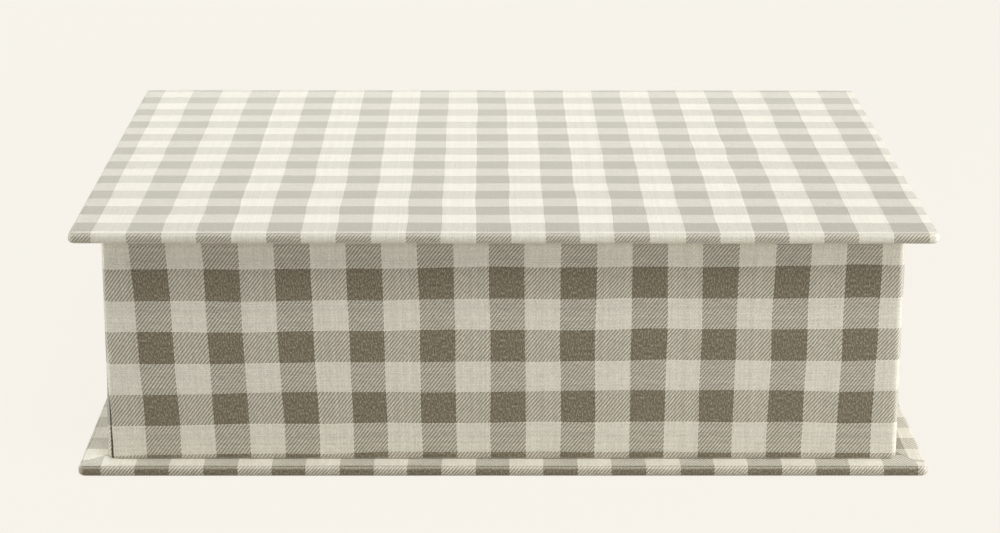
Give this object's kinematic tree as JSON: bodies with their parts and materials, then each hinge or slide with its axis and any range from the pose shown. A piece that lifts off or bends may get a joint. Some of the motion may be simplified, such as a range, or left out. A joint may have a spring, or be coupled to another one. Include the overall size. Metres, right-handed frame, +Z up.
{
  "type": "photo storage box",
  "caption": "Cloth-covered rigid storage box for photographs, with a flat lid on a cloth hinge and covers that stand out past the tray.",
  "frame": {"origin": "middle of the underside of the base", "axes": "+Z up through the lid, -Y out of the front, +X to the right seen from the front, along the hinge"},
  "size_m": [0.28, 0.21, 0.083],
  "materials": {
    "cloth": "woven cotton twill, checked in white and olive grey, dull",
    "greyboard": "pressed recycled fibre, dull",
    "lining_paper": "uncoated paper, dull"
  },
  "bodies": {
    "box": {"base_board": "greyboard", "base_cloth": "cloth", "spine_board": "greyboard", "spine_cloth": "cloth", "hinge_strip": "cloth", "tray_floor": "greyboard", "front_wall": "greyboard", "back_wall": "greyboard", "left_wall": "greyboard", "right_wall": "greyboard", "wall_cloth": "cloth", "wall_lining": "lining_paper", "floor_lining": "lining_paper"},
    "lid": {"lid_board": "greyboard", "lid_cloth": "cloth", "lid_hinge_leaf": "cloth", "lid_lining": "lining_paper"}
  },
  "joints": [
    {"name": "lid_hinge", "type": "hinge", "parent": "box", "child": "lid", "pos_m": [0, 0.105, 0.0796], "axis": [-1, 0, 0], "range_deg": [0, 200]}
  ]
}
